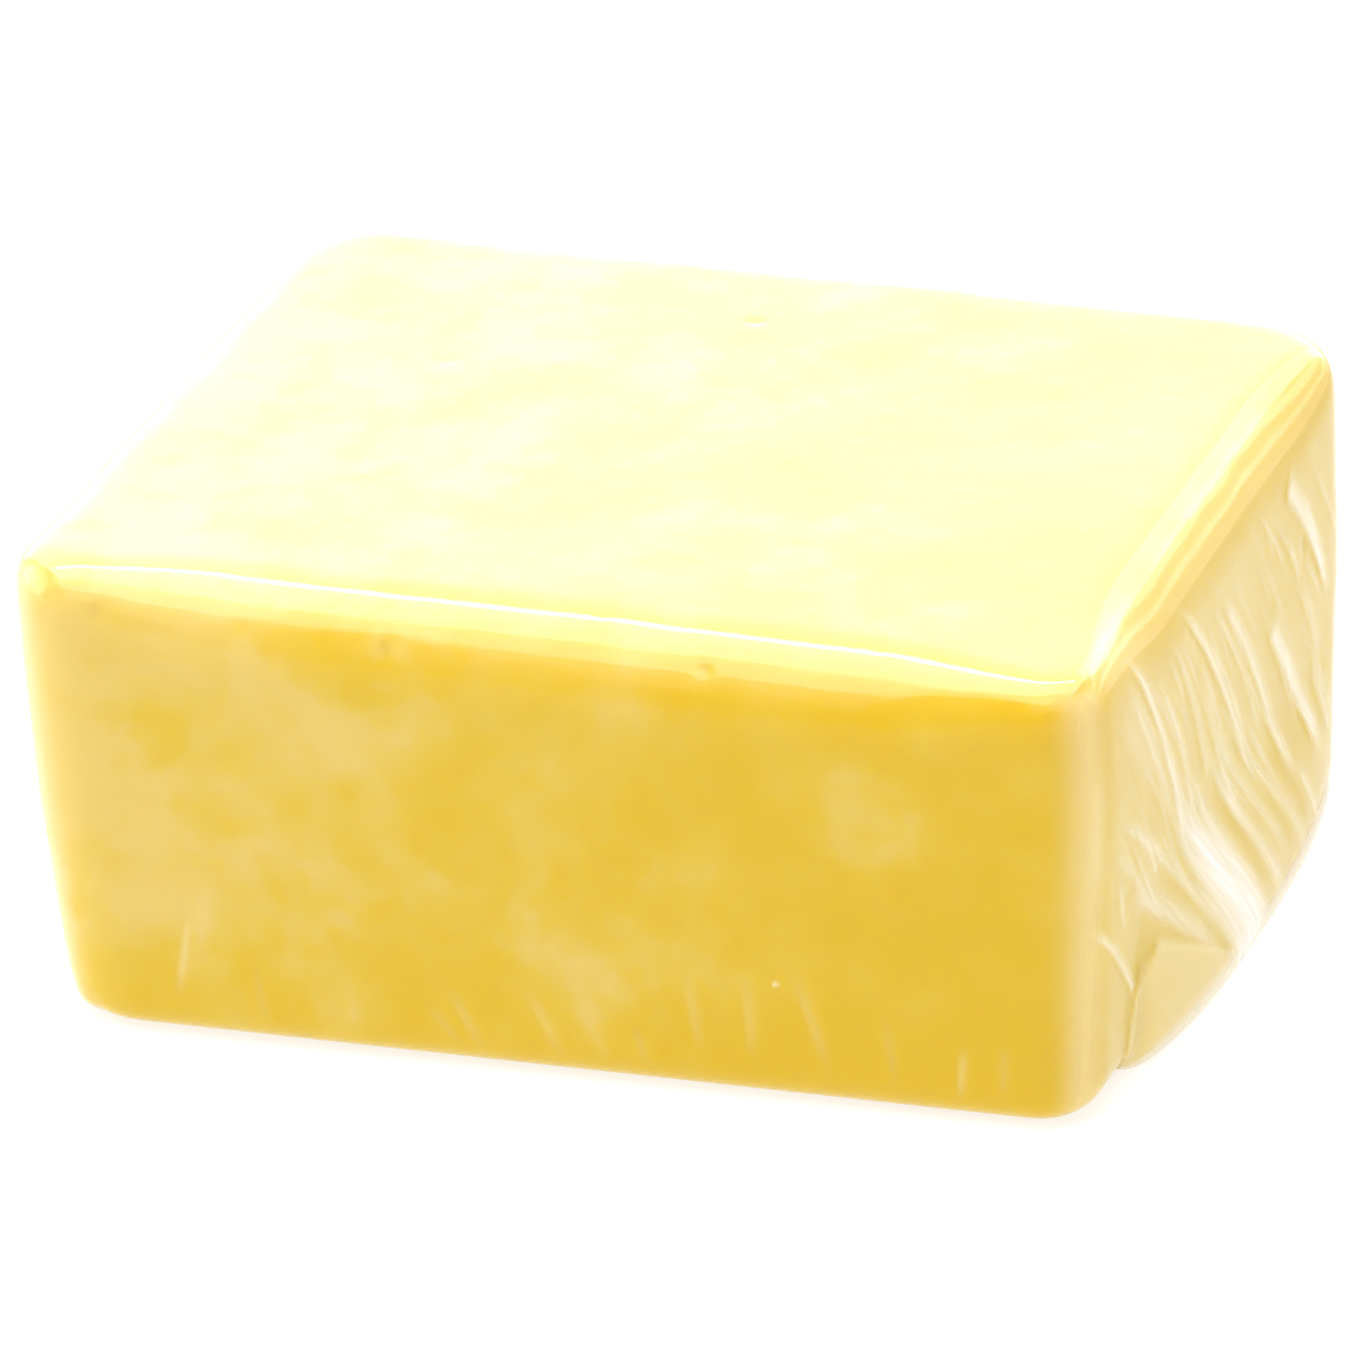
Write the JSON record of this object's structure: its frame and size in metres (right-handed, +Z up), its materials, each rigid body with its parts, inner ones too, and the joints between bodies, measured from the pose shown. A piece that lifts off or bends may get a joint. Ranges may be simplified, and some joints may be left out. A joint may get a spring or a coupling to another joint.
{
  "type": "film-wrapped block of cheddar cheese",
  "caption": "Half-kilo block of pale yellow cheddar wrapped tight in clear film, with the film gathered and tucked under at each end; it stands on its flat underside.",
  "frame": {"origin": "on the underside, below the middle of the block's box", "axes": "+X along the length towards the end with the large gather at its front, +Y towards the back, +Z up"},
  "size_m": [0.1126, 0.089, 0.0519],
  "materials": {
    "cheddar": "smooth, soft and slightly translucent cheese under a tight clear film",
    "clear_film": "clear glossy stretch film, whitish where it is gathered"
  },
  "bodies": {
    "root": {"wrapped_block": "cheddar"}
  },
  "joints": []
}
